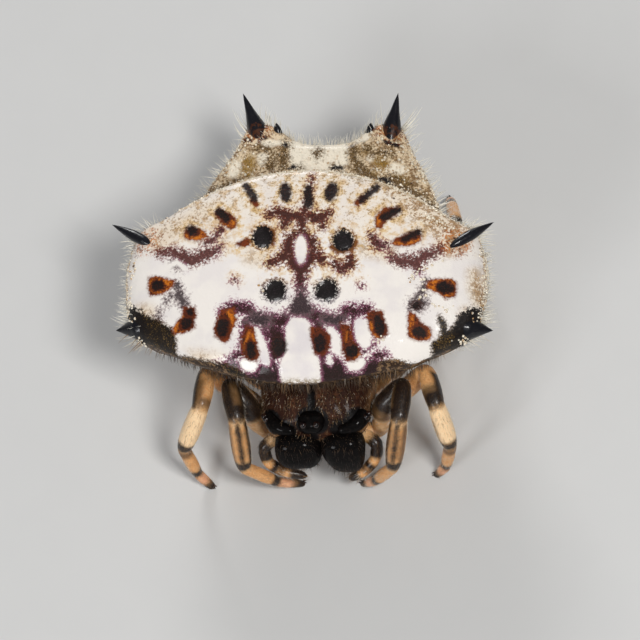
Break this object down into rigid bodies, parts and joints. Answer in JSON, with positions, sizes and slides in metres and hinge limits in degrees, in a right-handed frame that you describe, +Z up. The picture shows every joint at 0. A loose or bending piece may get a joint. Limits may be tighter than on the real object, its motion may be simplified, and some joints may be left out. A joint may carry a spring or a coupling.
{
  "type": "spiny orb weaver spider model",
  "caption": "Life-size still model of a spiny orb weaver: wide, hard, white-enamelled abdomen with short black spines, standing on folded, banded legs.",
  "frame": {"origin": "on the floor, under the centre of the model's box", "axes": "+Z up, +Y towards the spider's rear, so its head faces -Y, +X to the side that shows right when the spider is seen from the front"},
  "size_m": [0.0094, 0.0091, 0.0047],
  "materials": {
    "abdomen_enamel": "glossy white shell with dark and orange marks",
    "dark_brown": "hairy dark brown",
    "jaw_black": "glossy black",
    "eye_black": "glossy black",
    "leg_tan": "satin tan with dark rings"
  },
  "bodies": {
    "root": {"abdomen": "abdomen_enamel", "spinnerets": "dark_brown", "prosoma": "dark_brown", "chelicera_left": "jaw_black", "chelicera_right": "jaw_black", "eye_tubercle": "eye_black", "eye_mound_left": "eye_black", "eye_mound_right": "eye_black", "pedipalp_left": "leg_tan", "pedipalp_right": "leg_tan", "leg_1_left_femur": "leg_tan", "leg_1_left_tibia": "leg_tan", "leg_1_left_foot": "leg_tan", "leg_1_right_femur": "leg_tan", "leg_1_right_tibia": "leg_tan", "leg_1_right_foot": "leg_tan", "leg_2_left_femur": "leg_tan", "leg_2_left_tibia": "leg_tan", "leg_2_left_foot": "leg_tan", "leg_2_right_femur": "leg_tan", "leg_2_right_tibia": "leg_tan", "leg_2_right_foot": "leg_tan", "leg_3_left_femur": "leg_tan", "leg_3_left_tibia": "leg_tan", "leg_3_left_foot": "leg_tan", "leg_3_right_femur": "leg_tan", "leg_3_right_tibia": "leg_tan", "leg_3_right_foot": "leg_tan", "leg_4_left_femur": "leg_tan", "leg_4_left_tibia": "leg_tan", "leg_4_left_foot": "leg_tan", "leg_4_right_femur": "leg_tan", "leg_4_right_tibia": "leg_tan", "leg_4_right_foot": "leg_tan"}
  },
  "joints": []
}
